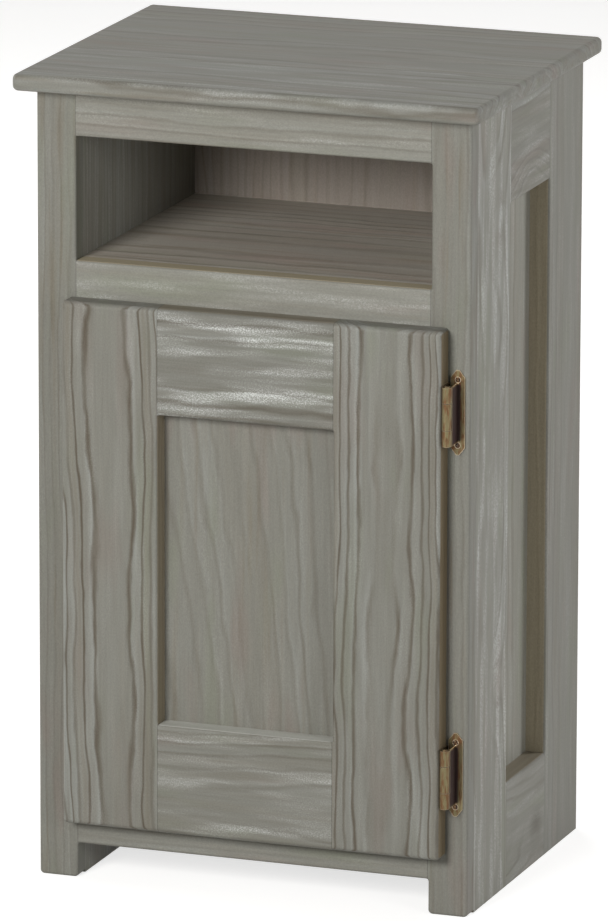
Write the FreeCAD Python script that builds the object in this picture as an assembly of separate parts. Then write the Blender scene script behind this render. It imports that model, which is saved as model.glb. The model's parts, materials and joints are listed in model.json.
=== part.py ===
# Storage side table: a narrow free-standing cabinet with an open cubby and one hinged door.
# Millimetres, +Z up, front towards -Y. The origin is on the floor under the middle of the top.
import FreeCAD, Part
import os

os.makedirs("parts", exist_ok=True)

# Overall sizes
total_height = 762.0
body_width = 420.0
body_depth = 320.0
board_thickness = 19.0

# Top
top_thickness = 16.0
top_overhang_front = 25.0
top_overhang_side = 15.0
top_overhang_rear = 11.0
top_plank_count = 3
top_corner_radius = 6.0
top_edge_radius = 5.0

# Face frame
stile_width = 38.0
top_rail_height = 43.0
cubby_opening_height = 116.0
middle_rail_height = 44.0
bottom_rail_height = 38.0
foot_clearance = 33.0
frame_edge_radius = 3.0
opening_corner_radius = 2.5
foot_corner_radius = 4.0

# Sides
side_front_stile_width = 92.0
side_rear_stile_width = 98.0
side_rail_height = 99.0

# Back
back_thickness = 6.0
back_inset = 4.0
back_rabbet_width = 9.0
back_edge_gap = 0.5

# Cleats
cleat_size = 19.0

# Door
door_thickness = 20.0
door_gap = 2.0
door_overlay_left = 6.5
door_overlay_right = 17.5
door_overlay_top = 10.5
door_overlay_bottom = 13.5
door_stile_left_width = 94.0
door_stile_right_width = 103.0
door_top_rail_height = 100.0
door_bottom_rail_height = 103.0
door_panel_thickness = 6.0
door_panel_lap = 18.0
door_edge_radius = 5.0
door_corner_radius = 4.0

# Hinges
hinge_inset = 78.0
hinge_barrel_radius = 4.75
hinge_barrel_length = 55.0
hinge_knuckle_length = 25.0
hinge_pin_radius = 1.6
hinge_pin_head_radius = 2.6
hinge_pin_head_height = 0.8
hinge_plate = 1.3
hinge_axis_setback = 2.5
hinge_edge_gap = 0.1
frame_leaf_width = 14.0
frame_leaf_length = 79.0
frame_leaf_offset = 4.3
frame_leaf_point = 7.0
frame_leaf_shoulder = 3.0
door_leaf_reach = 44.0

# Fasteners
dowel_radius = 4.0
dowel_length = 30.0
frame_dowel_length = 24.0
frame_dowel_count = 4
frame_dowel_end = 70.0
dowel_rail_share = 0.25
screw_radius = 2.0
screw_head_radius = 4.0
screw_head_height = 2.6
screw_length = 29.0
hinge_screw_radius = 1.5
hinge_screw_head_radius = 2.8
hinge_screw_head_height = 1.2
hinge_screw_length = 13.0
hinge_screw_end = 9.0
brad_radius = 0.7
brad_head_radius = 1.3
brad_head_height = 0.8
back_brad_length = 18.0
door_brad_length = 14.0
back_brad_rows = 6
bumper_radius = 3.0
bumper_inset = 4.5
bumper_from_side = 20.0
bumper_gap = 0.3

# Clearances
running_clearance = 0.05
knuckle_clearance = 0.4
hole_clearance = 0.1
hole_end_clearance = 0.5

# Levels and planes worked out from the sizes
body_height = total_height - top_thickness
half_width = body_width / 2
top_depth = top_overhang_front + body_depth + top_overhang_rear
face_front = -top_depth / 2 + top_overhang_front
face_back = face_front + board_thickness
body_rear = face_front + body_depth
inner_half = half_width - stile_width
panel_half = half_width - board_thickness
top_rail_low = body_height - top_rail_height
shelf_top = top_rail_low - cubby_opening_height
middle_rail_low = shelf_top - middle_rail_height
bottom_rail_top = foot_clearance + bottom_rail_height
back_rear = body_rear - back_inset
back_front = back_rear - back_thickness
door_back = face_front - door_gap
door_front = door_back - door_thickness
door_left = -inner_half - door_overlay_left
door_right = inner_half + door_overlay_right
door_low = bottom_rail_top - door_overlay_bottom
door_top = middle_rail_low + door_overlay_top
door_panel_left = door_left + door_stile_left_width
door_panel_right = door_right - door_stile_right_width
door_panel_low = door_low + door_bottom_rail_height
door_panel_top = door_top - door_top_rail_height
hinge_x = door_right + hinge_edge_gap + hinge_barrel_radius
hinge_y = door_front + hinge_axis_setback
hinge_centres = {"upper": door_top - hinge_inset, "lower": door_low + hinge_inset}

TOLERANCE = 1e-4
ALONG = {"x": FreeCAD.Vector(1, 0, 0), "y": FreeCAD.Vector(0, 1, 0), "z": FreeCAD.Vector(0, 0, 1)}


def export(name, shape):
    """Writes one node, after a check that every solid in it is sound."""
    for solid in shape.Solids:
        assert solid.isValid() and solid.Volume > 0, name
    shape.exportStep("parts/" + name + ".step")
    print(name, len(shape.Solids), "solids", round(shape.Volume), "mm3")


def box(x_range, y_range, z_range):
    """A block between two planes on each axis, given in either order."""
    low = FreeCAD.Vector(min(x_range), min(y_range), min(z_range))
    high = FreeCAD.Vector(max(x_range), max(y_range), max(z_range))
    size = high - low
    return Part.makeBox(size.x, size.y, size.z, low)


def rod(radius, length, start, direction):
    """A cylinder from a point along a direction."""
    return Part.makeCylinder(radius, length, FreeCAD.Vector(*start), direction)


def fuse(shapes):
    """One solid from several that touch, with the seams on flat faces removed."""
    whole = shapes[0].fuse(list(shapes[1:])) if len(shapes) > 1 else shapes[0]
    return whole.removeSplitter()


def cut(shape, tools):
    """The shape less all the tools."""
    return shape.cut(list(tools)) if tools else shape


def spread(low, high, count):
    """Evenly spaced places between two limits, half a step in from each end."""
    step = (high - low) / count
    return [low + step * (i + 0.5) for i in range(count)]


def runs_along(edge, axis):
    """True for a straight edge parallel to an axis."""
    if len(edge.Vertexes) != 2:
        return False
    line = edge.Vertexes[1].Point - edge.Vertexes[0].Point
    return abs(abs(line.dot(ALONG[axis])) - line.Length) < TOLERANCE


def lies_on(edge, axis, value):
    """True for an edge that lies in the plane axis = value."""
    box_low = getattr(edge.BoundBox, axis.upper() + "Min")
    box_high = getattr(edge.BoundBox, axis.upper() + "Max")
    return abs(box_low - value) < TOLERANCE and abs(box_high - value) < TOLERANCE


def rounded(shape, radius, wanted):
    """The shape with every edge that passes the test rounded."""
    edges = [edge for edge in shape.Edges if wanted(edge)]
    return shape.makeFillet(radius, edges) if edges else shape


def split(whole, blocks):
    """Cuts a finished, rounded assembly back into its boards."""
    return {name: whole.common(block) for name, block in blocks.items()}


def screw(start, direction, radius, head_radius, head_height, length, clearance=0.0):
    """A countersunk screw, or with a clearance the hole for it. start is the middle of the head's face."""
    origin = FreeCAD.Vector(*start)
    head = Part.makeCone(head_radius + clearance, radius + clearance, head_height, origin, direction)
    end = hole_end_clearance if clearance else 0.0
    shank = Part.makeCylinder(radius + clearance, length + end, origin, direction)
    return head.fuse(shank).removeSplitter()


def cleat_screw(start, direction, clearance=0.0):
    return screw(start, direction, screw_radius, screw_head_radius, screw_head_height,
                 screw_length, clearance)


def hinge_screw(start, direction, clearance=0.0):
    return screw(start, direction, hinge_screw_radius, hinge_screw_head_radius, hinge_screw_head_height,
                 hinge_screw_length, clearance)


def brad(start, direction, length, clearance=0.0):
    """A small flat-headed nail driven flush, or with a clearance the hole for it."""
    end = hole_end_clearance if clearance else 0.0
    origin = FreeCAD.Vector(*start)
    head = Part.makeCylinder(brad_head_radius + clearance, brad_head_height, origin, direction)
    shank = Part.makeCylinder(brad_radius + clearance, length + end, origin, direction)
    return head.fuse(shank).removeSplitter()


def dowel(middle, axis, length, clearance=0.0):
    """A dowel centred on a joint, or with a clearance the hole for it."""
    half = length / 2 + (hole_end_clearance if clearance else 0.0)
    start = FreeCAD.Vector(*middle) - ALONG[axis] * half
    return Part.makeCylinder(dowel_radius + clearance, 2 * half, start, ALONG[axis])


def frame_dowel_places(joints, y_middle):
    """Two dowels at each butt joint, given as (x of the joint, low z, high z)."""
    places = []
    for x, low, high in joints:
        inset = (high - low) * dowel_rail_share
        places.append((x, y_middle, low + inset))
        places.append((x, y_middle, high - inset))
    return places


# Fastener places, used for the fasteners and for their holes
face_joints = []
for side in (-1, 1):
    face_joints.append((side * inner_half, foot_clearance, bottom_rail_top))
    face_joints.append((side * inner_half, middle_rail_low, shelf_top))
    face_joints.append((side * inner_half, top_rail_low, body_height))
face_dowels = frame_dowel_places(face_joints, (face_front + face_back) / 2)

carcass_dowels = []
for side in (-1, 1):
    for z in spread(frame_dowel_end, body_height - frame_dowel_end, frame_dowel_count):
        carcass_dowels.append((side * (inner_half + panel_half) / 2, face_back, z))

door_joints = []
for x in (door_panel_left, door_panel_right):
    door_joints.append((x, door_low, door_panel_low))
    door_joints.append((x, door_panel_top, door_top))
door_dowels = frame_dowel_places(door_joints, (door_front + door_back) / 2)

# Each cleat carries a board whose underside is at this level
cleat_tops = {"shelf": shelf_top - board_thickness,
              "floor": bottom_rail_top - board_thickness,
              "top": body_height}
cleat_side_screws = []
cleat_up_screws = []
for level in cleat_tops.values():
    for side in (-1, 1):
        for y in spread(face_back, back_front, 3):
            cleat_side_screws.append(((side * (inner_half - cleat_size), y, level - cleat_size / 2),
                                      ALONG["x"] * side))
        for y in spread(face_back, back_front, 5)[1:4:2]:
            cleat_up_screws.append(((side * (inner_half - cleat_size / 2), y, level - cleat_size),
                                    ALONG["z"]))

back_brads = []
for side in (-1, 1):
    for z in spread(bottom_rail_top, body_height, back_brad_rows):
        back_brads.append((side * (inner_half + back_rabbet_width / 2), back_rear, z))
for level in (cleat_tops["shelf"], cleat_tops["floor"]):
    for x in spread(-inner_half, inner_half, 3):
        back_brads.append((x, back_rear, level + board_thickness / 2))

door_panel_back = door_back + door_panel_thickness
door_brads = []
for x in (door_panel_left - door_panel_lap / 2, door_panel_right + door_panel_lap / 2):
    for z in spread(door_panel_low, door_panel_top, 4):
        door_brads.append((x, door_panel_back, z))
for z in (door_panel_low - door_panel_lap / 2, door_panel_top + door_panel_lap / 2):
    for x in spread(door_panel_left, door_panel_right, 2):
        door_brads.append((x, door_panel_back, z))

frame_leaf_x = hinge_x + frame_leaf_offset
door_leaf_back = door_back + hinge_plate
frame_leaf_screws = []
door_leaf_screws = []
for z in hinge_centres.values():
    for step in (-1, 1):
        frame_leaf_screws.append((frame_leaf_x, face_front - hinge_plate,
                                  z + step * (frame_leaf_length / 2 - hinge_screw_end)))
        door_leaf_screws.append((hinge_x - door_leaf_reach + hinge_screw_end, door_leaf_back,
                                 z + step * (hinge_barrel_length / 2 - hinge_screw_end)))

INTO_CABINET = ALONG["y"]
TO_THE_FRONT = ALONG["y"] * -1


def dowel_holes(places, axis, length):
    return [dowel(place, axis, length, hole_clearance) for place in places]


def cleat_holes():
    return [cleat_screw(start, way, hole_clearance) for start, way in cleat_side_screws + cleat_up_screws]


def brad_holes(places, length):
    return [brad(place, TO_THE_FRONT, length, hole_clearance) for place in places]


def make_top():
    """Edge-glued top with every edge rounded over, cut back into its planks."""
    x_range = (-half_width - top_overhang_side, half_width + top_overhang_side)
    y_range = (-top_depth / 2, top_depth / 2)
    whole = box(x_range, y_range, (body_height, total_height))
    whole = rounded(whole, top_corner_radius, lambda edge: runs_along(edge, "z"))
    whole = rounded(whole, top_edge_radius,
                    lambda edge: lies_on(edge, "z", total_height) or lies_on(edge, "z", body_height))
    plank = top_depth / top_plank_count
    blocks = {}
    for i in range(top_plank_count):
        y_start = -top_depth / 2 + plank * i
        plank_range = (y_start, y_start + plank)
        blocks["top_plank_" + str(i + 1)] = box(x_range, plank_range, (body_height, total_height))
    holes = cleat_holes()
    return {name: cut(piece, holes) for name, piece in split(whole, blocks).items()}


def make_face_frame():
    """Two stiles down to the floor with three rails butted between them, eased as one frame."""
    depth = (face_front, face_back)
    rails = {"top": (top_rail_low, body_height),
             "middle": (middle_rail_low, shelf_top),
             "bottom": (foot_clearance, bottom_rail_top)}
    blocks = {"face_stile_left": box((-half_width, -inner_half), depth, (0, body_height)),
              "face_stile_right": box((inner_half, half_width), depth, (0, body_height))}
    for name, levels in rails.items():
        blocks["face_" + name + "_rail"] = box((-inner_half, inner_half), depth, levels)
    whole = fuse(list(blocks.values()))
    whole = rounded(whole, foot_corner_radius,
                    lambda edge: runs_along(edge, "y") and lies_on(edge, "z", 0))
    whole = rounded(whole, opening_corner_radius,
                    lambda edge: runs_along(edge, "y")
                    and (lies_on(edge, "x", -inner_half) or lies_on(edge, "x", inner_half)))
    whole = rounded(whole, frame_edge_radius,
                    lambda edge: lies_on(edge, "y", face_front) and not lies_on(edge, "z", body_height))
    holes = dowel_holes(face_dowels, "x", dowel_length)
    holes += dowel_holes(carcass_dowels, "y", frame_dowel_length)
    holes += [hinge_screw(start, INTO_CABINET, hole_clearance) for start in frame_leaf_screws]
    return {name: cut(piece, holes) for name, piece in split(whole, blocks).items()}


def make_side(side, label):
    """One side: a full panel, with two stiles and two rails laid on its outer face."""
    outer = (side * panel_half, side * half_width)
    front_edge = face_back + side_front_stile_width
    rear_edge = body_rear - side_rear_stile_width
    blocks = {"front_stile": box(outer, (face_back, front_edge), (0, body_height)),
              "rear_stile": box(outer, (rear_edge, body_rear), (0, body_height)),
              "top_rail": box(outer, (front_edge, rear_edge), (body_height - side_rail_height, body_height)),
              "bottom_rail": box(outer, (front_edge, rear_edge), (0, side_rail_height))}
    whole = fuse(list(blocks.values()))
    whole = rounded(whole, opening_corner_radius,
                    lambda edge: runs_along(edge, "x") and TOLERANCE < edge.BoundBox.ZMin
                    and edge.BoundBox.ZMax < body_height - TOLERANCE)
    whole = rounded(whole, frame_edge_radius,
                    lambda edge: lies_on(edge, "x", side * half_width) and not lies_on(edge, "y", face_back)
                    and not lies_on(edge, "z", 0) and not lies_on(edge, "z", body_height))
    pieces = {"side_" + label + "_" + name: piece for name, piece in split(whole, blocks).items()}

    panel = box((side * inner_half, side * panel_half), (face_back, body_rear), (0, body_height))
    rabbet = box((side * inner_half, side * (inner_half + back_rabbet_width)), (back_front, body_rear),
                 (0, body_height))
    holes = dowel_holes(carcass_dowels, "y", frame_dowel_length) + cleat_holes()
    holes += brad_holes(back_brads, back_brad_length)
    pieces["side_" + label + "_panel"] = cut(panel, [rabbet] + holes)
    return pieces


def make_inside():
    """Shelf, floor and back, and the cleats that carry them and the top."""
    pieces = {}
    holes = cleat_holes() + brad_holes(back_brads, back_brad_length)
    for name, node in (("shelf", "cubby_shelf"), ("floor", "cabinet_floor")):
        level = cleat_tops[name]
        board = box((-inner_half, inner_half), (face_back, back_front), (level, level + board_thickness))
        pieces[node] = cut(board, holes)
    for name, level in cleat_tops.items():
        for side, label in ((-1, "left"), (1, "right")):
            bar = box((side * (inner_half - cleat_size), side * inner_half), (face_back, back_front),
                      (level - cleat_size, level))
            pieces[name + "_cleat_" + label] = cut(bar, holes)
    back_half = inner_half + back_rabbet_width - back_edge_gap
    back = box((-back_half, back_half), (back_front, back_rear), (cleat_tops["floor"], body_height))
    pieces["back_panel"] = cut(back, holes)
    return pieces


def make_door():
    """Two full-height stiles with two rails between them, and a flat panel fixed on the back."""
    depth = (door_front, door_back)
    between = (door_panel_left, door_panel_right)
    blocks = {"door_stile_left": box((door_left, door_panel_left), depth, (door_low, door_top)),
              "door_stile_right": box((door_panel_right, door_right), depth, (door_low, door_top)),
              "door_top_rail": box(between, depth, (door_panel_top, door_top)),
              "door_bottom_rail": box(between, depth, (door_low, door_panel_low))}
    whole = fuse(list(blocks.values()))

    def on_outline(edge):
        """True for an edge on the door's outline, and not round the panel."""
        reach = edge.BoundBox
        gaps = (reach.XMin - door_left, reach.XMax - door_right, reach.ZMin - door_low, reach.ZMax - door_top)
        return any(abs(gap) < TOLERANCE for gap in gaps)

    def at_front(edge):
        return lies_on(edge, "y", door_front)

    whole = rounded(whole, opening_corner_radius, lambda edge: runs_along(edge, "y") and not on_outline(edge))
    whole = rounded(whole, frame_edge_radius, lambda edge: at_front(edge) and not on_outline(edge))
    whole = rounded(whole, door_corner_radius, lambda edge: runs_along(edge, "y") and on_outline(edge))
    whole = rounded(whole, door_edge_radius, lambda edge: at_front(edge) and on_outline(edge))
    brads = brad_holes(door_brads, door_brad_length)
    holes = dowel_holes(door_dowels, "x", dowel_length) + brads
    holes += [hinge_screw(start, TO_THE_FRONT, hole_clearance) for start in door_leaf_screws]
    pieces = {name: cut(piece, holes) for name, piece in split(whole, blocks).items()}
    panel = box((door_panel_left - door_panel_lap, door_panel_right + door_panel_lap),
                (door_back, door_panel_back),
                (door_panel_low - door_panel_lap, door_panel_top + door_panel_lap))
    pieces["door_panel"] = cut(panel, brads)
    return pieces


def knuckle(z_low, z_high):
    """A length of hinge barrel with its bore for the pin."""
    start = (hinge_x, hinge_y, z_low)
    tube = rod(hinge_barrel_radius, z_high - z_low, start, ALONG["z"])
    return tube.cut(rod(hinge_pin_radius + running_clearance, z_high - z_low, start, ALONG["z"]))


def knuckle_room(z_low, z_high):
    """The space that the other leaf's knuckle turns in."""
    radius = hinge_barrel_radius + knuckle_clearance
    return rod(radius, z_high - z_low, (hinge_x, hinge_y, z_low), ALONG["z"])


def make_frame_leaf(z_middle):
    """Leaf on the face frame: a pointed plate, a web standing on it and the two outer knuckles."""
    half_leaf = frame_leaf_length / 2
    half_width_leaf = frame_leaf_width / 2
    shoulder = half_leaf - frame_leaf_point
    outline = []
    for way in (1, -1):
        outline += [(-way * half_width_leaf, way * shoulder),
                    (-way * frame_leaf_shoulder / 2, way * half_leaf),
                    (way * frame_leaf_shoulder / 2, way * half_leaf),
                    (way * half_width_leaf, way * shoulder)]
    points = [FreeCAD.Vector(frame_leaf_x + x, face_front, z_middle + z) for x, z in outline]
    plate = Part.Face(Part.makePolygon(points + points[:1])).extrude(TO_THE_FRONT * hinge_plate)
    low, high = z_middle - hinge_barrel_length / 2, z_middle + hinge_barrel_length / 2
    turn_low, turn_high = z_middle - hinge_knuckle_length / 2, z_middle + hinge_knuckle_length / 2
    web_x = hinge_x + hinge_barrel_radius
    web = box((web_x - hinge_plate, web_x), (hinge_y, face_front - hinge_plate), (low, high))
    bore = rod(hinge_pin_radius + running_clearance, high - low, (hinge_x, hinge_y, low), ALONG["z"])
    leaf = fuse([plate, web, knuckle(low, turn_low), knuckle(turn_high, high)])
    gap = knuckle_clearance / 2
    leaf = leaf.cut(knuckle_room(turn_low - gap, turn_high + gap)).cut(bore)
    return cut(leaf, [hinge_screw(start, INTO_CABINET, hole_clearance) for start in frame_leaf_screws])


def make_door_leaf(z_middle):
    """Leaf on the back of the door: a plate, a web round the door's edge and the middle knuckle."""
    low, high = z_middle - hinge_barrel_length / 2, z_middle + hinge_barrel_length / 2
    gap = knuckle_clearance / 2
    turn_low = z_middle - hinge_knuckle_length / 2 + gap
    turn_high = z_middle + hinge_knuckle_length / 2 - gap
    web_x = hinge_x - hinge_barrel_radius
    plate = box((hinge_x - door_leaf_reach, web_x + hinge_plate), (door_back, door_leaf_back), (low, high))
    web = box((web_x, web_x + hinge_plate), (hinge_y, door_leaf_back), (low, high))
    bore = rod(hinge_pin_radius + running_clearance, high - low, (hinge_x, hinge_y, low), ALONG["z"])
    web = cut(web, [knuckle_room(low, turn_low), knuckle_room(turn_high, high)])
    leaf = fuse([plate, web, knuckle(turn_low, turn_high)]).cut(bore)
    return cut(leaf, [hinge_screw(start, TO_THE_FRONT, hole_clearance) for start in door_leaf_screws])


def make_pin(z_middle):
    """Hinge pin with a flat head at each end of the barrel."""
    low = z_middle - hinge_barrel_length / 2
    pin = rod(hinge_pin_radius, hinge_barrel_length, (hinge_x, hinge_y, low), ALONG["z"])
    ends = (low - hinge_pin_head_height, low + hinge_barrel_length)
    heads = [rod(hinge_pin_head_radius, hinge_pin_head_height, (hinge_x, hinge_y, z), ALONG["z"])
             for z in ends]
    return fuse([pin] + heads)


def make_fasteners():
    """Groups of like fasteners, and the door's two bumpers."""
    groups = {
        "face_frame_dowels": [dowel(place, "x", dowel_length) for place in face_dowels],
        "carcass_dowels": [dowel(place, "y", frame_dowel_length) for place in carcass_dowels],
        "door_dowels": [dowel(place, "x", dowel_length) for place in door_dowels],
        "cleat_screws": [cleat_screw(start, way) for start, way in cleat_side_screws + cleat_up_screws],
        "back_brads": [brad(place, TO_THE_FRONT, back_brad_length) for place in back_brads],
        "door_panel_brads": [brad(place, TO_THE_FRONT, door_brad_length) for place in door_brads],
        "hinge_frame_screws": [hinge_screw(place, INTO_CABINET) for place in frame_leaf_screws],
        "hinge_door_screws": [hinge_screw(place, TO_THE_FRONT) for place in door_leaf_screws]}
    bumper_length = door_gap - bumper_gap
    bumper_x = door_left + bumper_from_side
    groups["door_bumpers"] = [rod(bumper_radius, bumper_length, (bumper_x, door_back, z), INTO_CABINET)
                              for z in (door_low + bumper_inset, door_top - bumper_inset)]
    return {name: Part.makeCompound(solids) for name, solids in groups.items()}


pieces = {}
pieces.update(make_top())
pieces.update(make_face_frame())
pieces.update(make_side(-1, "left"))
pieces.update(make_side(1, "right"))
pieces.update(make_inside())
pieces.update(make_door())
for place, centre in hinge_centres.items():
    pieces["hinge_" + place + "_frame_leaf"] = make_frame_leaf(centre)
    pieces["hinge_" + place + "_door_leaf"] = make_door_leaf(centre)
    pieces["hinge_" + place + "_pin"] = make_pin(centre)
pieces.update(make_fasteners())

for name, shape in pieces.items():
    export(name, shape)
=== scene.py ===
"""Looks of the storage side table: grey-stained pine boards, antique brass hinges, plain studio."""

import json
import math

import bmesh
import bpy
from mathutils import Matrix, Vector


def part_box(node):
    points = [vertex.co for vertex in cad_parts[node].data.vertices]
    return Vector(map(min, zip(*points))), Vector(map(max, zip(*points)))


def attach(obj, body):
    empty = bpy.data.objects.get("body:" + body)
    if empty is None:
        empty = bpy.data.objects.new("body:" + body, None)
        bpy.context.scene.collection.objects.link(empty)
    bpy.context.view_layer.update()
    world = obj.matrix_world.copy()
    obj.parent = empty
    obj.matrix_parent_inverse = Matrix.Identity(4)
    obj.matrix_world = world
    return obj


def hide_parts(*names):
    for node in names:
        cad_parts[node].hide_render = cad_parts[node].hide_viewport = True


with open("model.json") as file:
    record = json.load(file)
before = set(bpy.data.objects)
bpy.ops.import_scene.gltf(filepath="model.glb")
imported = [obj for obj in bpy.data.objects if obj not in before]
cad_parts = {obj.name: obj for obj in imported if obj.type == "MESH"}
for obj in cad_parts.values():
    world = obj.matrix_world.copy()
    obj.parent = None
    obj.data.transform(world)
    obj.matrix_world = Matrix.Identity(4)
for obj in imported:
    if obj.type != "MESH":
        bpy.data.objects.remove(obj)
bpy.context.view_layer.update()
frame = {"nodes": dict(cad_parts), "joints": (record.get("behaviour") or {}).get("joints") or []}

AXES = "xyz"
MM = 0.001
WHITE = (1.0, 1.0, 1.0, 1.0)


def srgb(red, green, blue):
    """Linear colour from the 0 to 255 numbers of a picture."""
    def linear(value):
        share = value / 255
        return share / 12.92 if share <= 0.04045 else ((share + 0.055) / 1.055) ** 2.4
    return (linear(red), linear(green), linear(blue), 1.0)


class Sock:
    """A value in a node tree: Python arithmetic on it adds Math nodes there."""

    def __init__(self, owner, socket):
        self.owner = owner
        self.socket = socket

    def math(self, operation, *values):
        return self.owner.node("ShaderNodeMath", {"operation": operation}, dict(enumerate(values)))

    def __add__(self, other):
        return self.math("ADD", self, other)

    def __sub__(self, other):
        return self.math("SUBTRACT", self, other)

    def __rsub__(self, other):
        return self.math("SUBTRACT", other, self)

    def __mul__(self, other):
        return self.math("MULTIPLY", self, other)

    def __truediv__(self, other):
        return self.math("DIVIDE", self, other)

    def __rtruediv__(self, other):
        return self.math("DIVIDE", other, self)

    def __pow__(self, other):
        return self.math("POWER", self, other)

    def __abs__(self):
        return self.math("ABSOLUTE", self)

    __radd__ = __add__

    def most(self, other):
        return self.math("MAXIMUM", self, other)

    def least(self, other):
        return self.math("MINIMUM", self, other)

    def floor(self):
        return self.math("FLOOR", self)

    def fraction(self):
        return self.math("FRACT", self)

    def step(self, low, high):
        """0 below low, 1 above high and smooth between them; falls from 1 to 0 where low is the higher."""
        first, last = (0.0, 1.0) if low < high else (1.0, 0.0)
        return self.owner.node("ShaderNodeMapRange", {"interpolation_type": "SMOOTHSTEP"},
                               {0: self, 1: min(low, high), 2: max(low, high), 3: first, 4: last})


class Tree:
    """A node tree being made, with one method that adds any node."""

    def __init__(self, tree):
        self.tree = tree
        tree.nodes.clear()

    def node(self, kind, settings=None, values=None, output=0):
        """Adds a node; a list of values is linked to one socket that takes many."""
        made = self.tree.nodes.new(kind)
        for name, setting in (settings or {}).items():
            if name == "stops":
                self.set_stops(made.color_ramp, setting)
            else:
                setattr(made, name, setting)
        for key, value in (values or {}).items():
            for item in value if isinstance(value, list) else [value]:
                if isinstance(item, Sock):
                    self.tree.links.new(item.socket, made.inputs[key])
                else:
                    made.inputs[key].default_value = item
        return Sock(self, made.outputs[output]) if made.outputs else None

    def set_stops(self, ramp, stops):
        """Stops are (place, grey)."""
        while len(ramp.elements) < len(stops):
            ramp.elements.new(1.0)
        for element, (place, grey) in zip(ramp.elements, stops):
            element.position = place
            element.color = (grey, grey, grey, 1.0)

    def join(self, x, y, z):
        return self.node("ShaderNodeCombineXYZ", None, {0: x, 1: y, 2: z})


class Finish(Tree):
    """The nodes of a material or world being made."""

    def __init__(self, kept):
        kept.use_nodes = True
        self.kept = kept
        super().__init__(kept.node_tree)

    def place(self, output="Object"):
        return self.node("ShaderNodeTexCoord", None, None, output)

    def split(self, vector):
        """The three parts of a vector."""
        parts = self.node("ShaderNodeSeparateXYZ", None, {0: vector}).socket.node
        return [Sock(self, output) for output in parts.outputs]

    def millimetres_from(self, point):
        """The place on the object as seen from a point, its parts in millimetres."""
        shifted = self.node("ShaderNodeVectorMath", {"operation": "SUBTRACT"},
                            {0: self.place(), 1: tuple(point)})
        measured = self.node("ShaderNodeVectorMath", {"operation": "SCALE"}, {0: shifted, "Scale": 1 / MM})
        return self.split(measured)

    def noise(self, vector, scale=1.0, detail=2.0, roughness=0.5):
        values = {"Vector": vector, "Scale": scale, "Detail": detail, "Roughness": roughness}
        return self.node("ShaderNodeTexNoise", None, values)

    def dice(self, value):
        """A random number from 0 to 1 for each whole number."""
        return self.node("ShaderNodeTexWhiteNoise", {"noise_dimensions": "1D"}, {"W": value})

    def ramp(self, value, stops):
        return self.node("ShaderNodeValToRGB", {"stops": stops}, {0: value})

    def mix(self, factor, first, second, blend="MIX"):
        """Colour mix."""
        return self.node("ShaderNodeMix", {"data_type": "RGBA", "blend_type": blend},
                         {0: factor, 6: first, 7: second}, 2)

    def grey(self, value):
        """A value as a colour with equal parts."""
        return self.node("ShaderNodeCombineColor", None, {0: value, 1: value, 2: value})

    def bump(self, height, distance):
        return self.node("ShaderNodeBump", None, {"Height": height, "Distance": distance, "Strength": 1.0})

    def edges(self, radius):
        """0 on open surfaces, rising to 1 at arrises and corners."""
        rounded = self.node("ShaderNodeBevel", {"samples": 6}, {"Radius": radius})
        flat = self.node("ShaderNodeNewGeometry", None, None, "True Normal")
        return 1 - self.node("ShaderNodeVectorMath", {"operation": "DOT_PRODUCT"}, {0: rounded, 1: flat}, 1)

    def close(self, **values):
        """Ends a material in one Principled shader; names use _ for a space."""
        sockets = {name.replace("_", " "): value for name, value in values.items()}
        shader = self.node("ShaderNodeBsdfPrincipled", None, sockets)
        self.node("ShaderNodeOutputMaterial", None, {"Surface": shader})
        return self.kept


def new_finish(name):
    return Finish(bpy.data.materials.new(name))


def add_object(name, data):
    """A new object in the scene."""
    made = bpy.data.objects.new(name, data)
    bpy.context.scene.collection.objects.link(made)
    return made


def outward(turn, rise):
    """The way out from the object, turned from its front towards the right and raised, in radians."""
    return Vector((math.sin(turn) * math.cos(rise), -math.cos(turn) * math.cos(rise), math.sin(rise)))


# Camera: worked out from the photo's straight edges
CAMERA_TURN = math.radians(19.91)
CAMERA_RISE = math.radians(13.84)
CAMERA_ROLL = math.radians(0.14)
CAMERA_TARGET = Vector((0.05049, -0.153, 0.41789))
CAMERA_DISTANCE = 8.69465
CAMERA_LENS = 373.15
CAMERA_SENSOR = 36.0
CAMERA_SIGHT = 100.0


def make_camera():
    """The photo's view, with its slight roll."""
    back = outward(CAMERA_TURN, CAMERA_RISE)
    level = Vector((math.cos(CAMERA_TURN), math.sin(CAMERA_TURN), 0.0))
    upright = back.cross(level)
    right = level * math.cos(CAMERA_ROLL) + upright * math.sin(CAMERA_ROLL)
    up = upright * math.cos(CAMERA_ROLL) - level * math.sin(CAMERA_ROLL)
    data = bpy.data.cameras.new("camera")
    data.lens = CAMERA_LENS
    data.sensor_width = CAMERA_SENSOR
    data.clip_end = CAMERA_SIGHT
    camera = add_object("camera", data)
    turn = Matrix((right, up, back)).transposed()
    camera.matrix_world = Matrix.Translation(CAMERA_TARGET + back * CAMERA_DISTANCE) @ turn.to_4x4()
    bpy.context.scene.camera = camera


# Grey-stained pine
PALE_WOOD = srgb(150, 152, 147)
PLAIN_WOOD = srgb(126, 125, 117)
BROWN_WOOD = srgb(116, 109, 95)
DARK_WOOD = srgb(88, 80, 68)
PINK_WOOD = srgb(128, 116, 108)
GREEN_WOOD = srgb(122, 125, 109)
KNOT_WOOD = srgb(70, 60, 48)
WORN_WOOD = srgb(158, 158, 151)
# Painted highlight: near-white flecks that stand in for the lamps glinting on the lacquer
PAINTED_GLINT_WOOD = srgb(216, 218, 214)
RIM_WOOD = srgb(148, 135, 111)
# Partly edge stain, partly painted light: a paler edge colour standing in for light on recessed edges
PAINTED_LIGHT_RIM_WOOD = srgb(176, 164, 138)
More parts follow.
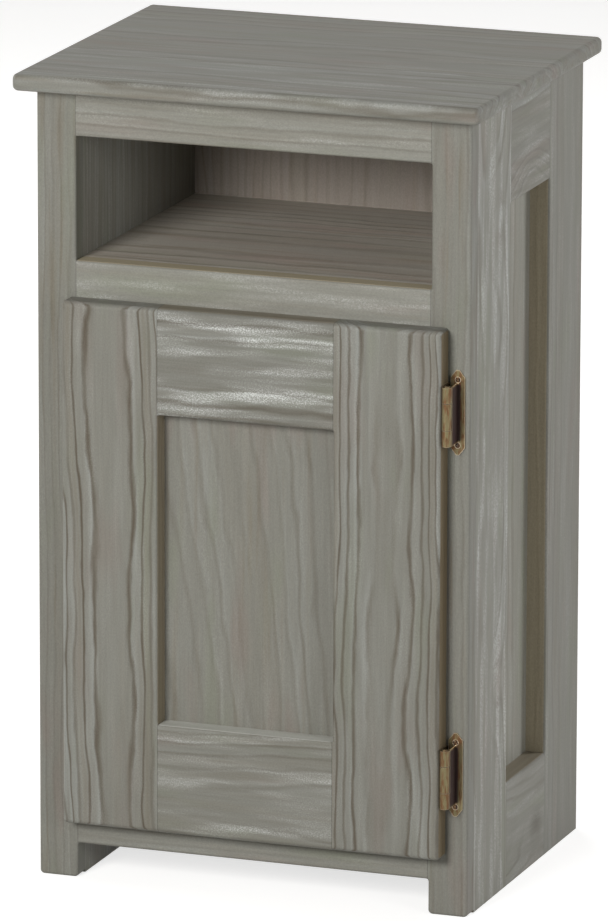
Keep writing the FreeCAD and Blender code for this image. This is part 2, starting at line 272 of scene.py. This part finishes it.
# Painted shade: a dark edge colour standing in for the shadow on the door's hinge-side edge and its gap
PAINTED_SHADE_RIM_WOOD = srgb(113, 100, 77)
# Painted highlight: a near-white rim colour standing in for light falling on the door's bottom-rail ledge
PAINTED_HIGHLIGHT_WOOD = srgb(192, 192, 184)

# Spots of each mark in the wood: length along the grain and width across it in millimetres,
# a shift that sets the mark apart from the others, detail and roughness
GRAIN = {
    "side wander": (310, 140, 3, 3, 0.5),
    "depth wander": (250, 160, 11, 2, 0.5),
    "ripple": (85, 20, 5, 3, 0.6),
    "fading": (90, 12, 7, 2, 0.5),
    "fibre": (75, 2.4, 17, 3, 0.6),
    "streak": (160, 7, 19, 2, 0.5),
    "cloud": (330, 60, 29, 3, 0.5),
    "tint": (140, 26, 47, 2, 0.5),
    "speck": (1.8, 1.1, 53, 2, 0.6),
    # The next two marks place the painted glints: patches of them, and the flecks within the patches
    "glow": (110, 11, 43, 2, 0.5),
    "fleck": (1.5, 1.1, 41, 2, 0.6),
    "wear": (34, 4, 31, 3, 0.5),
}
BOARD_SHIFT = 7.31

# Across one growth ring, from one dark line to the next: the line itself, and the paler wood beside it
RIDGE_STOPS = ((0.0, 1.0), (0.08, 0.74), (0.19, 0.2), (0.32, 0.0), (0.66, 0.03), (0.8, 0.25), (0.92, 0.8),
               (1.0, 1.0))
BAND_STOPS = ((0.0, 0.0), (0.1, 0.5), (0.2, 1.0), (0.4, 0.6), (0.6, 0.4), (0.78, 0.7), (0.9, 0.3), (1.0, 0.0))
SIDE_WANDER = 4
DEPTH_WANDER = 1.2
BEND_STRETCH = 0.45
BEND_HEIGHT = 1.6
BEND_SPREAD = 4
KNOT_STRETCH = 0.7
KNOT_RAGGED = 9.0
WORN_EDGE = (4.0, 1.0)
SEAM = (0.9, 0.2)


def pine(node, along, across, pith, ring, lean=(0.0, 0.0), wave=4.0, lines=0.75, tone=1.0, warm=0.0,
         painted_glint_strength=0.3, blush=0.0, rim=0.0, rim_colour=RIM_WOOD, sheen=0.1, seed=1.0, knots=(), curls=(),
         butted=False):
    """Stained and brushed pine for one board, cut from a trunk whose rings run round a pith.

    along and across are the board's axes for the grain and for the width of its face. In millimetres,
    pith is where the trunk's middle lies from the board's middle, across the face and behind it, ring is
    the width of a growth ring, wave is how far the rings wander, and knots and curls, which bend the rings,
    are (along, across, radius) from the board's middle. lean is how far the pith shifts in each way for each
    length along. lines, warm, painted_glint_strength and blush are how strong the dark lines, the brown
    streaks, the painted glints (painted highlights of the lamps on the lacquer) and the pink are, tone is how
    light the board is, rim is how much of rim_colour the narrow edges take, sheen is the lacquer's specular
    level, and seed moves the marks about. Butted boards show a fine dark seam at each end.
    """
    low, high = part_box(node)
    half = dict(zip(AXES, (high - low) / (2 * MM)))
    deep = (set(AXES) - {along, across}).pop()
    finish = new_finish("pine_" + node)
    parts = dict(zip(AXES, finish.millimetres_from((low + high) / 2)))
    length, width, depth = parts[along], parts[across], parts[deep]

    def grain(mark):
        """Noise in the long spots of one mark."""
        long, wide, shift, detail, roughness = GRAIN[mark]
        vector = finish.join(length * (1 / long) + (seed * BOARD_SHIFT + shift), width * (1 / wide),
                             depth * (1 / wide) + shift)
        return finish.noise(vector, 1.0, detail, roughness)

    # Growth rings
    side = width - pith[0] + (grain("side wander") - 0.5) * (SIDE_WANDER * wave) - length * lean[0]
    down = depth - pith[1] + (grain("depth wander") - 0.5) * (DEPTH_WANDER * wave) - length * lean[1]
    bulge = 0.0
    for knot_along, knot_across, radius in knots + curls:
        gap = ((length - knot_along) * BEND_STRETCH) ** 2 + (width - knot_across) ** 2
        bulge = bulge + (radius * BEND_HEIGHT) / (1 + gap / (radius * radius * BEND_SPREAD))
    reach = (side ** 2 + down ** 2) ** 0.5 + bulge
    uneven = finish.noise(finish.join(reach * (0.4 / ring), seed, 0.0)) - 0.5
    ripple = grain("ripple") - 0.5
    turns = reach * (1 / ring) + uneven * 1.3 + ripple * 0.9
    phase = turns.fraction()
    nearest_line = (turns + 0.5).floor()
    zone = turns.floor()
    slope = (abs(side) / reach).step(0.14, 0.42)
    fading = grain("fading").step(0.25, 0.6) * 0.4 + 0.6
    bold = finish.dice(nearest_line + seed * 3.7).step(0.2, 0.9) * 0.5 + 0.5
    ridge = finish.ramp(phase, RIDGE_STOPS) * (bold * (slope * 0.85 + 0.15) * fading)
    band = finish.ramp(phase, BAND_STOPS) * (finish.dice(zone + seed * 2.9) * 0.75 + 0.25)
    band = band * (slope * 0.6 + 0.4)
    brown_zone = finish.dice(zone + seed * 5.3).step(0.35, 0.95) * (phase * (1 - phase) * 4)

    # Fibres, stain clouds, painted glints on the lacquer and the edges' wear
    fibre = grain("fibre")
    streak = grain("streak")
    cloud = grain("cloud")
    tint = grain("tint")
    speck = grain("speck")
    facing = dict(zip(AXES, finish.split(finish.place("Normal"))))
    end_grain = abs(facing[along]).step(0.55, 0.85)
    narrow = abs(facing[across]).step(0.8, 0.98)
    # Painted glints: bright flecks in patches, painted highlights in place of the lacquer catching the lamps
    glow = grain("glow").step(0.4, 0.72) * (band * 0.8 + 0.3)
    painted_glints = glow * (grain("fleck").step(0.42, 0.68) * 0.75 + 0.22)
    # Narrow edges that have a rim colour lose the painted glints, except where the rim is the
    # painted-highlight colour
    if rim and rim_colour != PAINTED_HIGHLIGHT_WOOD:
        painted_glints = painted_glints * (1 - narrow)
    from_edge = (half[across] - abs(width)).most(half[deep] - abs(depth))
    worn = from_edge.step(*WORN_EDGE) * grain("wear").step(0.4, 0.75)

    # Stain, from the palest wood to the dark lines, then what lies over them
    mottle = (cloud - 0.5) * 1.2 + (streak - 0.5) * 1.2
    pale = band * (0.15 + lines * 0.65) + mottle * (0.4 + lines * 0.5)
    colour = finish.mix(pale.step(0.0, 0.9), PLAIN_WOOD, PALE_WOOD)
    colour = finish.mix(brown_zone * (slope * 0.7 + 0.3) * (0.1 + lines * 0.35), colour, BROWN_WOOD)
    colour = finish.mix(streak.step(0.5, 0.74) * (0.25 + warm), colour, BROWN_WOOD)
    colour = finish.mix(tint.step(0.54, 0.74) * (0.3 + warm * 0.5), colour, PINK_WOOD)
    colour = finish.mix(tint.step(0.46, 0.26) * 0.45, colour, GREEN_WOOD)
    if blush:
        colour = finish.mix(blush, colour, PINK_WOOD)
    colour = finish.mix(ridge * (1 - end_grain * 0.7) * lines, colour, DARK_WOOD)
    for knot_along, knot_across, radius in knots:
        gap = (((length - knot_along) * KNOT_STRETCH) ** 2 + (width - knot_across) ** 2) ** 0.5
        core = (gap + ripple * KNOT_RAGGED).step(radius * 1.3, 0.0)
        colour = finish.mix(core * 0.55, colour, KNOT_WOOD)
    colour = finish.mix(worn * 0.12, colour, WORN_WOOD)
    if rim:
        colour = finish.mix(narrow * rim, colour, rim_colour)
    # Painted glints laid over the wood as a near-white colour
    colour = finish.mix(painted_glints * painted_glint_strength, colour, PAINTED_GLINT_WOOD)
    shade = (0.66 + fibre * 0.26 + speck * 0.42) * (1 - end_grain * 0.04) * tone
    if butted:
        shade = shade * (1 - (half[along] - abs(length)).step(*SEAM) * 0.45)
    colour = finish.mix(1.0, colour, finish.grey(shade), "MULTIPLY")

    # Satin lacquer over the brushed grain
    gloss = 0.5 - ridge * 0.05 + (speck - 0.5) * 0.2 - painted_glints * (painted_glint_strength * 0.2)
    relief = ridge * 0.22 + fibre * 0.12 + speck * 0.07
    return finish.close(Base_Color=colour, Roughness=gloss, Normal=finish.bump(relief, MM),
                        Specular_IOR_Level=sheen)


# Antique brass
PALE_BRASS = srgb(116, 107, 80)
BROWN_BRASS = srgb(100, 74, 52)
DARK_BRASS = srgb(52, 41, 38)
RUBBED_BRASS = srgb(214, 200, 176)
# Painted shade for the corner between the hinge barrel and the frame leaf
PAINTED_SHADE_BRASS = srgb(44, 33, 37)
STAIN_ACROSS = 420.0
STAIN_ALONG = 80.0
BRASS_PITTING = 1500.0
BRASS_RELIEF = 0.00012
LEAF_RUB = 0.0011
SCREW_RUB = 0.0003
# How far the painted shade reaches out from the web over the frame leaf, and in behind it
PAINTED_SHADE_OUTER = (0.0032, 0.0012)
PAINTED_SHADE_INNER = (-0.0004, -0.0001)


def hinge_painted_shade(x, y, z):
    """How much painted shade darkens the corner between barrel and frame leaf, and where the barrel itself
    is.
    """
    axis_x, axis_y, _ = frame["joints"][0]["pos_m"]
    barrel_radius = axis_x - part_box("hinge_upper_frame_leaf")[0].x
    web_x = axis_x + barrel_radius
    from_axis = ((x - axis_x) ** 2 + (y - axis_y) ** 2) ** 0.5
    on_barrel = from_axis.step(barrel_radius * 1.2, barrel_radius * 1.05)
    at_hinge = 0.0
    for leaf in ("hinge_upper_door_leaf", "hinge_lower_door_leaf"):
        low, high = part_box(leaf)
        tall = high.z - low.z
        at_hinge = abs(z - (low.z + high.z) / 2).step(tall * 0.5, tall * 0.46) + at_hinge
    from_web = x - web_x
    in_corner = from_web.step(*PAINTED_SHADE_OUTER) * from_web.step(*PAINTED_SHADE_INNER)
    return at_hinge * in_corner * (1 - on_barrel), on_barrel


def aged_brass(name, pale, brown, rub, painted_corner_shade=True):
    """Darkened brass with long brown stains, rubbed bright within rub of its edges; painted shade darkens the
    barrel's corner.
    """
    finish = new_finish(name)
    place = finish.place()
    x, y, z = finish.split(place)
    stain_place = finish.join(x * STAIN_ACROSS, y * STAIN_ACROSS, z * STAIN_ALONG)
    patch = finish.noise(stain_place, 1.0, 3.0, 0.55)
    fine = finish.noise(place, BRASS_PITTING, 3.0, 0.6)
    colour = finish.mix(patch.step(0.4, 0.62), pale, brown)
    colour = finish.mix(fine.step(0.54, 0.7) * 0.45, colour, DARK_BRASS)
    rubbed = finish.edges(rub).step(0.02, 0.14) * (0.3 + patch)
    gloss = 0.26 + patch * 0.2
    if painted_corner_shade:
        painted_shade, on_barrel = hinge_painted_shade(x, y, z)
        # Painted shade: the corner beside the barrel is darkened as if in shadow, and loses its rubbed edges
        colour = finish.mix(painted_shade * 0.9, colour, PAINTED_SHADE_BRASS)
        rubbed = rubbed * (1 - on_barrel * 0.75) * (1 - painted_shade)
        gloss = gloss + painted_shade * 0.3
    colour = finish.mix(rubbed.least(1.0), colour, RUBBED_BRASS)
    return finish.close(Base_Color=colour, Metallic=1.0, Roughness=gloss,
                        Normal=finish.bump(patch * 0.7 + fine * 0.3, BRASS_RELIEF))


# Zinc, beech and rubber
BRIGHT_ZINC = srgb(198, 198, 196)
DULL_ZINC = srgb(158, 156, 148)
PALE_BEECH = srgb(205, 170, 128)
BROWN_BEECH = srgb(160, 118, 80)
DARK_RUBBER = srgb(62, 54, 46)
PALE_RUBBER = srgb(86, 76, 66)


def plated_steel():
    """Zinc-plated steel with a faint cloudy bloom."""
    finish = new_finish("plated_steel")
    bloom = finish.noise(finish.place(), 420.0, 3.0, 0.6)
    colour = finish.mix(bloom.step(0.35, 0.7), BRIGHT_ZINC, DULL_ZINC)
    return finish.close(Base_Color=colour, Metallic=1.0, Roughness=0.3 + bloom * 0.2,
                        Normal=finish.bump(bloom, 0.00008))


def beech():
    """Raw beech with short flecks, for the dowels."""
    finish = new_finish("dowel_beech")
    fleck = finish.noise(finish.place(), 700.0, 3.0, 0.7)
    colour = finish.mix(fleck.step(0.4, 0.7), PALE_BEECH, BROWN_BEECH)
    return finish.close(Base_Color=colour, Roughness=0.6 + fleck * 0.2, Normal=finish.bump(fleck, 0.0001))


def bumper_rubber():
    """Dull brown rubber with a slight mottle."""
    finish = new_finish("bumper_rubber")
    mottle = finish.noise(finish.place(), 1500.0, 3.0, 0.6)
    colour = finish.mix(mottle, DARK_RUBBER, PALE_RUBBER)
    return finish.close(Base_Color=colour, Roughness=0.65 + mottle * 0.2, Normal=finish.bump(mottle, 0.0001))


# How each board was cut
UPRIGHT_X = dict(along="z", across="x")
UPRIGHT_Y = dict(along="z", across="y")
LEVEL_X = dict(along="x", across="z", butted=True)
LEVEL_Y = dict(along="y", across="z", butted=True)
FLAT_X = dict(along="x", across="y")
FLAT_Y = dict(along="y", across="x")
BOARDS = {
    "door_stile_left": dict(
        UPRIGHT_X, pith=(2, 33), ring=5.2, lean=(-0.02, 0.0), wave=9.0, lines=1.0, painted_glint_strength=0.2, tone=0.92,
        rim=0.6, seed=2),
    # Its narrow edges take the painted-shade rim colour
    "door_stile_right": dict(
        UPRIGHT_X, pith=(-4, 36), ring=5.2, lean=(0.01, 0.0), wave=9.0, lines=0.95, painted_glint_strength=0.2, tone=0.91,
        rim=0.9, rim_colour=PAINTED_SHADE_RIM_WOOD, seed=5),
    "door_top_rail": dict(
        LEVEL_X, pith=(2, 42), ring=6.4, wave=5, lines=0.65, painted_glint_strength=1.8, tone=0.84, rim=0.4, seed=7),
    # Its ledge takes the painted-highlight rim colour
    "door_bottom_rail": dict(
        LEVEL_X, pith=(-17, 38), ring=7.4, lean=(0.0, -0.04), wave=4, lines=0.4, painted_glint_strength=0.6, tone=0.91,
        rim=0.9, rim_colour=PAINTED_HIGHLIGHT_WOOD, seed=9),
    "door_panel": dict(
        UPRIGHT_X, pith=(-150, 70), ring=15, lean=(-0.12, 0.03), wave=13, lines=0.3, warm=0.25, painted_glint_strength=0.12,
        tone=0.93, seed=11),
    "face_stile_left": dict(
        UPRIGHT_X, pith=(120, 40), ring=7, lines=0.22, warm=0.4, painted_glint_strength=0.1, tone=0.91, seed=13),
    "face_stile_right": dict(
        UPRIGHT_X, pith=(-110, 36), ring=7, lines=0.25, warm=0.45, painted_glint_strength=0.1, tone=0.92, seed=17),
    "face_top_rail": dict(
        LEVEL_X, pith=(-60, 30), ring=8, lines=0.35, painted_glint_strength=0.25, tone=1.03, seed=19),
    # Its narrow edges take the paler painted-light rim colour
    "face_middle_rail": dict(
        LEVEL_X, pith=(8, 55), ring=6, lines=0.2, painted_glint_strength=0.6, tone=1.07, rim=0.85, rim_colour=PAINTED_LIGHT_RIM_WOOD,
        seed=23),
    "face_bottom_rail": dict(
        LEVEL_X, pith=(40, 40), ring=7, lines=0.25, painted_glint_strength=0.2, seed=29),
    # Painted light: tone 2.2 makes the shelf far paler than its wood, standing in for light inside the cubby
    "cubby_shelf": dict(
        FLAT_X, pith=(-60, -60), ring=15, wave=4, lines=0.6, warm=0.8, painted_glint_strength=0.05, tone=2.2, blush=0.35,
        sheen=0.5, seed=79),
    "cabinet_floor": dict(
        FLAT_X, pith=(20, -60), ring=8, wave=5, lines=0.5, painted_glint_strength=0.1, seed=83),
    # Painted light: tone 1.46 makes the back paler than its wood, standing in for light inside the cubby
    "back_panel": dict(
        UPRIGHT_X, pith=(30, 60), ring=8, wave=8, lines=0.35, warm=0.3, painted_glint_strength=0.0, tone=1.46, blush=0.6,
        seed=89),
}
for i in range(3):
    BOARDS["top_plank_" + str(i + 1)] = dict(
        FLAT_X, pith=(25 - 30 * i, -52), ring=10, lean=(0.02, 0.02), wave=8, lines=0.55, warm=0.35,
        painted_glint_strength=0.35 - 0.15 * i, tone=0.94, seed=31 + 3 * i)
for label, way in (("left", -1), ("right", 1)):
    BOARDS["side_" + label + "_front_stile"] = dict(
        UPRIGHT_Y, pith=(-8, -way * 48), ring=7, lean=(0.0, 0.03 * way), wave=6, lines=0.7, painted_glint_strength=0.9,
        tone=1.07, rim=0.5, seed=43 + way, curls=((273, 4, 16), (60, -10, 14), (-170, 8, 12)))
    # Its narrow edges take the paler painted-light rim colour
    BOARDS["side_" + label + "_rear_stile"] = dict(
        UPRIGHT_Y, pith=(10, -way * 50), ring=7, wave=5, lines=0.35, painted_glint_strength=0.25, tone=0.93,
        rim=0.65, rim_colour=PAINTED_LIGHT_RIM_WOOD, seed=47 + way)
    BOARDS["side_" + label + "_top_rail"] = dict(
        LEVEL_Y, pith=(6, -way * 40), ring=5.5, wave=5, lines=0.6, painted_glint_strength=0.6, tone=0.92, rim=0.5,
        seed=53 + way, curls=((6, -26, 14),))
    BOARDS["side_" + label + "_bottom_rail"] = dict(
        LEVEL_Y, pith=(-6, -way * 40), ring=6, wave=6, lines=0.5, painted_glint_strength=0.3, rim=0.5, seed=59 + way,
        knots=((32, -12, 14),))
    BOARDS["side_" + label + "_panel"] = dict(
        UPRIGHT_Y, pith=(40, -way * 70), ring=6.5, wave=6, lines=0.35, painted_glint_strength=0.2, tone=1.18 + 0.06 * way,
        seed=61 + way)
    for i, level in enumerate(("shelf", "floor", "top")):
        BOARDS[level + "_cleat_" + label] = dict(
            FLAT_Y, pith=(20, 24), ring=5, lines=0.4, seed=67 + way + 3 * i)

FITTINGS = {
    "antique_brass": ["hinge_upper_frame_leaf", "hinge_upper_door_leaf", "hinge_upper_pin",
                      "hinge_lower_frame_leaf", "hinge_lower_door_leaf", "hinge_lower_pin",
                      "hinge_frame_screws", "hinge_door_screws"],
    "plated_steel": ["cleat_screws", "back_brads", "door_panel_brads"],
    "dowel_beech": ["face_frame_dowels", "carcass_dowels", "door_dowels"],
    "bumper_rubber": ["door_bumpers"],
}

# Screws with cut recesses
SCREWS = {
    "cleat_screws": dict(body="carcass", slot="plated_steel", finish="plated_steel",
                         piece="cleat_screws_cross_head"),
    "hinge_frame_screws": dict(body="carcass", slot="antique_brass", finish="screw_brass",
                               piece="hinge_frame_screws_cross_head"),
    "hinge_door_screws": dict(body="door", slot="antique_brass", finish="screw_brass",
                              piece="hinge_door_screws_cross_head"),
}
SCREW_SIZES = ("Head Radius", "Head Height", "Shank Radius", "Length")
SAME_POINT = 1e-6
SAME_LEVEL = 10 * SAME_POINT
CORE_SHARE = 0.72
POINT_SHARE = 0.14
POINT_TIP = 0.05
THREAD_SEAT = 0.9
THREAD_SHARE = 0.74
THREAD_START = 0.9
THREAD_TURNS = 9.0
RECESS_MOUTH = 0.66
RECESS_FOOT = 0.24
RECESS_DEPTH = 0.95
RECESS_LIFT = 0.3
BLADES = ((1.0, 0.3, 1.0), (0.3, 1.0, 1.0))


def loose_parts(node):
    """The separate solids in a CAD node, each as the list of its corner points."""
    copy = bmesh.new()
    copy.from_mesh(frame["nodes"][node].data)
    bmesh.ops.remove_doubles(copy, verts=copy.verts, dist=SAME_POINT)
    waiting = set(copy.verts)
    parts = []
    while waiting:
        front = [waiting.pop()]
        points = []
        while front:
            corner = front.pop()
            points.append(corner.co.copy())
            for edge in corner.link_edges:
                other = edge.other_vert(corner)
                if other in waiting:
                    waiting.remove(other)
                    front.append(other)
        parts.append(points)
    copy.free()
    return parts


def measure_screw(points):
    """Middle of the head's face, the way that it looks, and the sizes in SCREW_SIZES."""
    low = Vector([min(p[i] for p in points) for i in range(3)])
    high = Vector([max(p[i] for p in points) for i in range(3)])
    axis = max(range(3), key=lambda i: high[i] - low[i])
    middle = (low + high) / 2

    def radius_at(level):
        rim = [p - middle for p in points if abs(p[axis] - level) < SAME_LEVEL]
        return max(math.hypot(p[(axis + 1) % 3], p[(axis + 2) % 3]) for p in rim)

    face, tip = sorted((low[axis], high[axis]), key=radius_at, reverse=True)
    depths = sorted(abs(p[axis] - face) for p in points)
    head_height = next(depth for depth in depths if depth > SAME_LEVEL)
    middle[axis] = face
    way = Vector((0.0, 0.0, 0.0))
    way[axis] = 1.0 if face > tip else -1.0
    return middle, way, (radius_at(face), head_height, radius_at(tip), abs(tip - face))


def screw_tree():
    """Geometry nodes that set a countersunk cross-head screw at each place, turned by chance."""
    group = bpy.data.node_groups.new("cross_head_screw", "GeometryNodeTree")
    group.interface.new_socket("Geometry", in_out="OUTPUT", socket_type="NodeSocketGeometry")
    group.interface.new_socket("Places", in_out="INPUT", socket_type="NodeSocketGeometry")
    for name in SCREW_SIZES:
        group.interface.new_socket(name, in_out="INPUT", socket_type="NodeSocketFloat")
    group.interface.new_socket("Seed", in_out="INPUT", socket_type="NodeSocketInt")
    group.interface.new_socket("Finish", in_out="INPUT", socket_type="NodeSocketMaterial")
    tree = Tree(group)
    inputs = tree.node("NodeGroupInput").socket.node.outputs
    given = {socket.name: Sock(tree, socket) for socket in inputs if socket.name}
    head_radius, head_height, shank_radius, length = [given[name] for name in SCREW_SIZES]
    core_radius = shank_radius * CORE_SHARE
    shank_length = length - head_height

    def cone(sides, top, bottom, depth, lift, scale=(1.0, 1.0, 1.0)):
        """A cone standing lift above the head's underside."""
        made = tree.node("GeometryNodeMeshCone", None, {
            "Vertices": sides, "Radius Top": top, "Radius Bottom": bottom, "Depth": depth})
        return tree.node("GeometryNodeTransform", None, {
            "Geometry": made, "Translation": tree.join(0.0, 0.0, lift), "Scale": scale})

    head = cone(32, head_radius, core_radius, head_height, 0.0)
    blades = [cone(4, head_radius * RECESS_MOUTH, head_radius * RECESS_FOOT, head_height * RECESS_DEPTH,
                   head_height * RECESS_LIFT, blade) for blade in BLADES]
    head = tree.node("GeometryNodeMeshBoolean", {"operation": "DIFFERENCE", "solver": "EXACT"},
                     {"Mesh 1": head, "Mesh 2": blades, "Self Intersection": True})
    shank_share = 1 - POINT_SHARE
    shank = cone(12, core_radius, core_radius, shank_length * shank_share, shank_length * -shank_share)
    point = cone(12, core_radius, core_radius * POINT_TIP, shank_length * POINT_SHARE, shank_length * -1.0)
    thread_radius = core_radius * THREAD_SEAT
    spiral = tree.node("GeometryNodeCurveSpiral", None, {
        "Resolution": 10, "Rotations": THREAD_TURNS, "Start Radius": thread_radius,
        "End Radius": thread_radius, "Height": shank_length * THREAD_SHARE})
    ridge = tree.node("GeometryNodeCurvePrimitiveCircle", {"mode": "RADIUS"}, {
        "Resolution": 3, "Radius": shank_radius - thread_radius})
    thread = tree.node("GeometryNodeCurveToMesh", None, {
        "Curve": spiral, "Profile Curve": ridge, "Fill Caps": True})
    thread = tree.node("GeometryNodeTransform", None, {
        "Geometry": thread, "Translation": tree.join(0.0, 0.0, shank_length * -THREAD_START)})
    screw = tree.node("GeometryNodeJoinGeometry", None, {"Geometry": [head, shank, point, thread]})
    screw = tree.node("GeometryNodeTransform", None, {
        "Geometry": screw, "Translation": tree.join(0.0, 0.0, head_height * -1.0)})
    way = tree.node("GeometryNodeInputNamedAttribute", {"data_type": "FLOAT_VECTOR"}, {"Name": "way"})
    turn = tree.node("FunctionNodeAlignRotationToVector", {"axis": "Z"}, {"Vector": way})
    chance = tree.node("FunctionNodeRandomValue", {"data_type": "FLOAT"},
                       {2: 0.0, 3: math.pi, "Seed": given["Seed"]}, 1)
    twist = tree.node("FunctionNodeAxisAngleToRotation", None, {"Axis": (0.0, 0.0, 1.0), "Angle": chance})
    turn = tree.node("FunctionNodeRotateRotation", {"rotation_space": "LOCAL"},
                     {"Rotation": turn, "Rotate By": twist})
    placed = tree.node("GeometryNodeInstanceOnPoints", None, {
        "Points": given["Places"], "Instance": screw, "Rotation": turn})
    whole = tree.node("GeometryNodeRealizeInstances", None, {"Geometry": placed})
    whole = tree.node("GeometryNodeSetMaterial", None, {"Geometry": whole, "Material": given["Finish"]})
    tree.node("NodeGroupOutput", None, {"Geometry": whole})
    return group


def make_screws(finishes):
    """Screws with cut recesses and threads in place of the plain ones, in the same holes."""
    group = screw_tree()
    identifiers = {item.name: item.identifier for item in group.interface.items_tree
                   if item.in_out == "INPUT"}
    for number, (node, screw) in enumerate(SCREWS.items()):
        measured = [measure_screw(points) for points in loose_parts(node)]
        # In order of place, so that every run turns each screw the same way
        measured.sort(key=lambda found: [round(part / SAME_LEVEL) for part in found[0]])
        places = bpy.data.meshes.new(screw["piece"] + "_places")
        places.from_pydata([place for place, way, sizes in measured], [], [])
        ways = places.attributes.new("way", "FLOAT_VECTOR", "POINT")
        for item, (place, way, sizes) in zip(ways.data, measured):
            item.vector = way
        piece = add_object(screw["piece"], places)
        modifier = piece.modifiers.new("screws", "NODES")
        modifier.node_group = group
        for name, size in zip(SCREW_SIZES, measured[0][2]):
            modifier[identifiers[name]] = size
        modifier[identifiers["Seed"]] = number
        modifier[identifiers["Finish"]] = finishes[screw["finish"]]
        made = piece.evaluated_get(bpy.context.evaluated_depsgraph_get())
        mesh = bpy.data.meshes.new_from_object(made)
        mesh.name = screw["piece"]
        piece.modifiers.remove(modifier)
        piece.data = mesh
        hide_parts(node)
        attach(piece, screw["body"])


def cover(node, material):
    """Gives a CAD node its finish."""
    mesh = frame["nodes"][node].data
    mesh.materials.clear()
    mesh.materials.append(material)


def finish_nodes():
    """Finishes every board and fitting, and makes the screws."""
    for node, cut in BOARDS.items():
        cover(node, pine(node, **cut))
    finishes = {
        "antique_brass": aged_brass("antique_brass", PALE_BRASS, BROWN_BRASS, LEAF_RUB),
        "screw_brass": aged_brass("screw_brass", BROWN_BRASS, DARK_BRASS, SCREW_RUB, False),
        "plated_steel": plated_steel(),
        "dowel_beech": beech(),
        "bumper_rubber": bumper_rubber(),
    }
    for name, nodes in FITTINGS.items():
        for node in nodes:
            cover(node, finishes[name])
    make_screws(finishes)


# Studio
FLOOR_SIZE = 30.0
FLOOR_WHITE = 0.72
FLOOR_COLOUR = (0.55, 0.54, 0.52, 1.0)
AMBIENT = 0.08
AMBIENT_COLOUR = (1.0, 0.97, 0.92, 1.0)
WHITE_LAMP = (1.0, 1.0, 1.0)
COOL_LAMP = (0.98, 0.99, 1.03)
LAMP_AIM = Vector((0.0, 0.0, 0.4))
LAMP_DISTANCE = 4.0
LAMPS = {
    "key": dict(turn=-10, rise=21, size=1.4, power=133, colour=WHITE_LAMP, mirrored=True),
    "fill": dict(turn=60, rise=10, size=1.6, power=36, colour=WHITE_LAMP, mirrored=True),
    "side": dict(turn=126, rise=24, size=1.4, power=76, colour=COOL_LAMP, mirrored=True),
    "left": dict(turn=-100, rise=12, size=1.6, power=44, colour=WHITE_LAMP, mirrored=True),
    "rear": dict(turn=215, rise=35, size=1.6, power=41, colour=WHITE_LAMP, mirrored=False),
}


def seen_rays(finish, *kinds):
    """1 for the kinds of ray that show the background as it is, 0 for light that falls on the object."""
    seen = 0.0
    for kind in kinds:
        seen = finish.node("ShaderNodeLightPath", None, None, "Is " + kind + " Ray") + seen
    return seen.least(1.0)


def make_floor():
    """Pale floor that shows white to the camera and still takes the object's shadow."""
    half = FLOOR_SIZE / 2
    mesh = bpy.data.meshes.new("floor")
    corners = [(-half, -half, 0), (half, -half, 0), (half, half, 0), (-half, half, 0)]
    mesh.from_pydata(corners, [], [(0, 1, 2, 3)])
    floor = add_object("floor", mesh)
    finish = new_finish("pale_floor")
    strength = seen_rays(finish, "Camera", "Glossy") * FLOOR_WHITE
    plain = finish.node("ShaderNodeBsdfDiffuse", None, {"Color": FLOOR_COLOUR})
    white = finish.node("ShaderNodeEmission", None, {"Color": WHITE, "Strength": strength})
    both = finish.node("ShaderNodeAddShader", None, {0: plain, 1: white})
    finish.node("ShaderNodeOutputMaterial", None, {"Surface": both})
    mesh.materials.append(finish.kept)


def make_world():
    """White where it is seen, dim and slightly warm where it lights the object."""
    world = bpy.data.worlds.new("studio")
    finish = Finish(world)
    seen = seen_rays(finish, "Camera", "Glossy", "Transmission")
    dim = finish.node("ShaderNodeBackground", None, {"Color": AMBIENT_COLOUR, "Strength": AMBIENT})
    white = finish.node("ShaderNodeBackground", None, {"Color": WHITE, "Strength": 1.0})
    both = finish.node("ShaderNodeMixShader", None, {0: seen, 1: dim, 2: white})
    finish.node("ShaderNodeOutputWorld", None, {"Surface": both})
    bpy.context.scene.world = world


def make_lamps():
    """Round soft lamps about the object; one that isn't mirrored leaves no gleam."""
    for name, lamp in LAMPS.items():
        away = outward(math.radians(lamp["turn"]), math.radians(lamp["rise"]))
        data = bpy.data.lights.new(name, "AREA")
        data.shape = "DISK"
        data.size = lamp["size"]
        data.energy = lamp["power"]
        data.color = lamp["colour"]
        light = add_object(name, data)
        light.visible_glossy = lamp["mirrored"]
        aim = away.to_track_quat("Z", "Y").to_matrix().to_4x4()
        light.matrix_world = Matrix.Translation(LAMP_AIM + away * LAMP_DISTANCE) @ aim


finish_nodes()
make_floor()
make_world()
make_lamps()
make_camera()
bpy.context.scene.view_settings.view_transform = "Standard"
